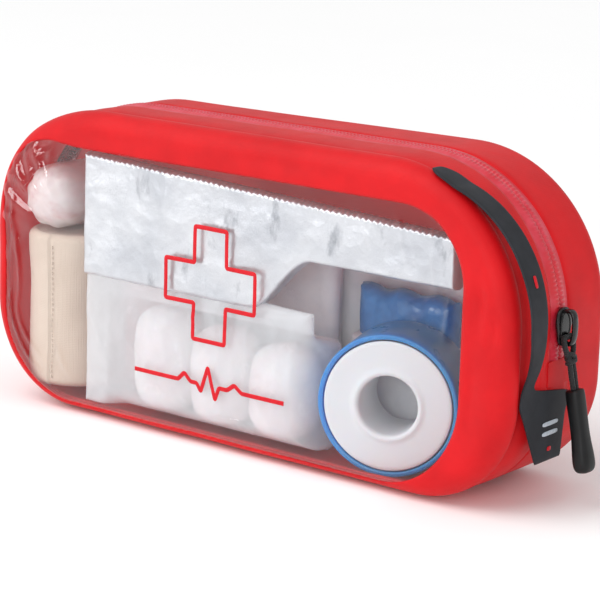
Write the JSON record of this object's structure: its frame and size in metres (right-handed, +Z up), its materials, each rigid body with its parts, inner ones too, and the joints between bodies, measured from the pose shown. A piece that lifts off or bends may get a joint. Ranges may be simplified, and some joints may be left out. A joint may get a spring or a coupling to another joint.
{
  "type": "first aid kit",
  "caption": "Soft red zipped pouch with a clear front window and its dressings, tape spool, foil blanket and bandage inside.",
  "frame": {"origin": "middle of the flat underside, halfway between the bag's ends and between its front and rear faces", "axes": "+X along the bag towards the end with the zip slider and carry strap, -Y out of the clear window, +Z up"},
  "size_m": [0.2634, 0.066, 0.12],
  "materials": {
    "red_fabric": "coated fabric, satin",
    "window_film": "clear, glossy",
    "red_print": "printed",
    "zip_film": "translucent coated",
    "strap_rubber": "matt",
    "mark_grey": "printed",
    "black_metal": "glossy",
    "black_cord": "braided",
    "black_rubber": "matt",
    "blue_plastic": "glossy",
    "white_plastic": "satin",
    "tape_cloth": "woven",
    "bandage_cloth": "woven elastic",
    "white_gauze": "soft gauze",
    "silver_foil": "metallised film, crinkled",
    "pouch_film": "clear film",
    "glove_rubber": "thin nitrile, satin",
    "pack_paper": "paper wrapper"
  },
  "bodies": {
    "bag": {"front_frame": "red_fabric", "clear_window": "window_film", "printed_plus": "red_print", "printed_pulse": "red_print", "front_gusset": "red_fabric", "base_gusset": "red_fabric", "rear_panel_lower": "red_fabric", "fold_panel": "red_fabric", "zip_tape_front": "zip_film", "zip_teeth_front": "zip_film", "zip_end_patches": "red_fabric", "carry_strap": "strap_rubber", "strap_marks": "mark_grey", "spool_cover": "blue_plastic", "elastic_bandage": "bandage_cloth", "wrapped_gauze": "white_gauze", "foil_blanket": "silver_foil", "gauze_pouch": "pouch_film", "gauze_roll_left": "white_gauze", "gauze_roll_middle": "white_gauze", "gauze_roll_right": "white_gauze", "nitrile_gloves": "glove_rubber", "dressing_pack": "pack_paper", "plaster_pack": "pack_paper"},
    "rear_half": {"rear_panel_upper": "red_fabric", "rear_gusset": "red_fabric", "zip_tape_rear": "zip_film", "zip_teeth_rear": "zip_film"},
    "slider": {"slider_body": "black_metal", "slider_bridge": "black_metal"},
    "puller": {"pull_cord": "black_cord", "pull_grip": "black_rubber"},
    "spool": {"tape_spool": "white_plastic", "tape_winding": "tape_cloth"}
  },
  "joints": [
    {"name": "mouth_open", "type": "hinge", "parent": "bag", "child": "rear_half", "pos_m": [0, 0, 0.052], "axis": [-1, 0, 0], "range_deg": [0, 30], "deforming": ["fold_panel"]},
    {"name": "slider_travel", "type": "hinge", "parent": "bag", "child": "slider", "pos_m": [0.067, 0, 0.064], "axis": [0, -1, 0], "range_deg": [0, 90]},
    {"name": "puller_swing", "type": "hinge", "parent": "slider", "child": "puller", "pos_m": [0.1264, 0, 0.06057], "axis": [0, -1, 0], "range_deg": [0, 111]},
    {"name": "spool_spin", "type": "hinge", "parent": "bag", "child": "spool", "pos_m": [0.066, -0.02197, 0.028], "axis": [0.3256, -0.9455, 0], "continuous": true}
  ]
}
